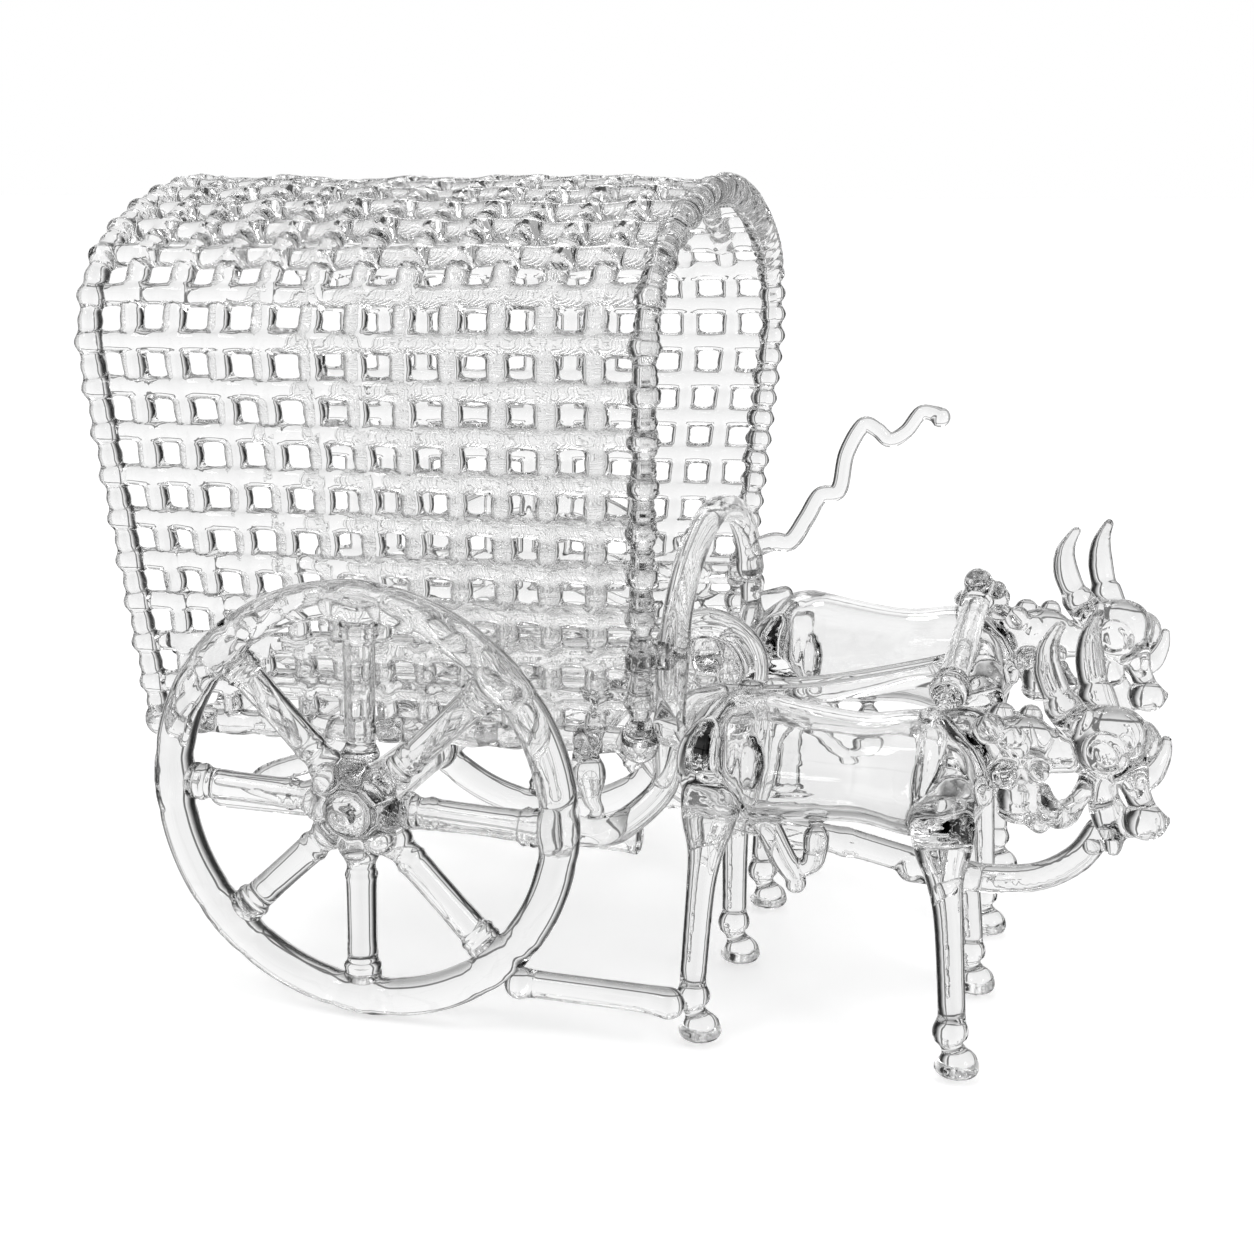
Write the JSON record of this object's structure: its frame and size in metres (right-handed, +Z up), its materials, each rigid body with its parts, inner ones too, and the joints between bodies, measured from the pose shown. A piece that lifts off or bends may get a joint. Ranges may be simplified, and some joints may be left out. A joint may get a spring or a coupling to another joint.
{
  "type": "glass figurine of a bullock cart",
  "caption": "Clear glass figurine of a covered two-wheeled cart with a lattice canopy, drawn by a yoked pair of hollow bullocks.",
  "frame": {"origin": "on the floor midway between the two wheels, below the middle of the axle", "axes": "+X the way the bullocks walk, +Y to their left, +Z up; the rims and the bullocks' hooves stand on z = 0"},
  "size_m": [0.1603, 0.0972, 0.1238],
  "materials": {
    "clear_glass": "fire-polished clear borosilicate rod"
  },
  "bodies": {
    "root": {"axle": "clear_glass", "right_wheel_rim": "clear_glass", "right_wheel_spokes": "clear_glass", "right_wheel_hub": "clear_glass", "left_wheel_rim": "clear_glass", "left_wheel_spokes": "clear_glass", "left_wheel_hub": "clear_glass", "canopy_rods_right": "clear_glass", "canopy_rods_roof": "clear_glass", "canopy_rods_left": "clear_glass", "canopy_bridges_right": "clear_glass", "canopy_bridges_roof": "clear_glass", "canopy_bridges_left": "clear_glass", "canopy_front_rope": "clear_glass", "canopy_rear_rope": "clear_glass", "bed_sills": "clear_glass", "bed_cross_rods": "clear_glass", "bed_slats": "clear_glass", "side_rails": "clear_glass", "under_beams": "clear_glass", "rear_struts": "clear_glass", "front_struts": "clear_glass", "axle_posts": "clear_glass", "front_hoop": "clear_glass", "seat_arch": "clear_glass", "seat_knob": "clear_glass", "whip": "clear_glass", "tongue": "clear_glass", "yoke_beam": "clear_glass", "yoke_beads": "clear_glass", "wheel_braces": "clear_glass", "lower_shaft": "clear_glass", "draught_rods": "clear_glass", "right_bullock_barrel": "clear_glass", "right_bullock_haunch": "clear_glass", "right_bullock_chest": "clear_glass", "right_bullock_neck": "clear_glass", "right_bullock_head": "clear_glass", "right_bullock_horns": "clear_glass", "right_bullock_ears": "clear_glass", "right_bullock_legs": "clear_glass", "right_bullock_dewlap": "clear_glass", "right_bullock_sheath": "clear_glass", "left_bullock_barrel": "clear_glass", "left_bullock_haunch": "clear_glass", "left_bullock_chest": "clear_glass", "left_bullock_neck": "clear_glass", "left_bullock_head": "clear_glass", "left_bullock_horns": "clear_glass", "left_bullock_ears": "clear_glass", "left_bullock_legs": "clear_glass", "left_bullock_dewlap": "clear_glass", "left_bullock_sheath": "clear_glass"}
  },
  "joints": []
}
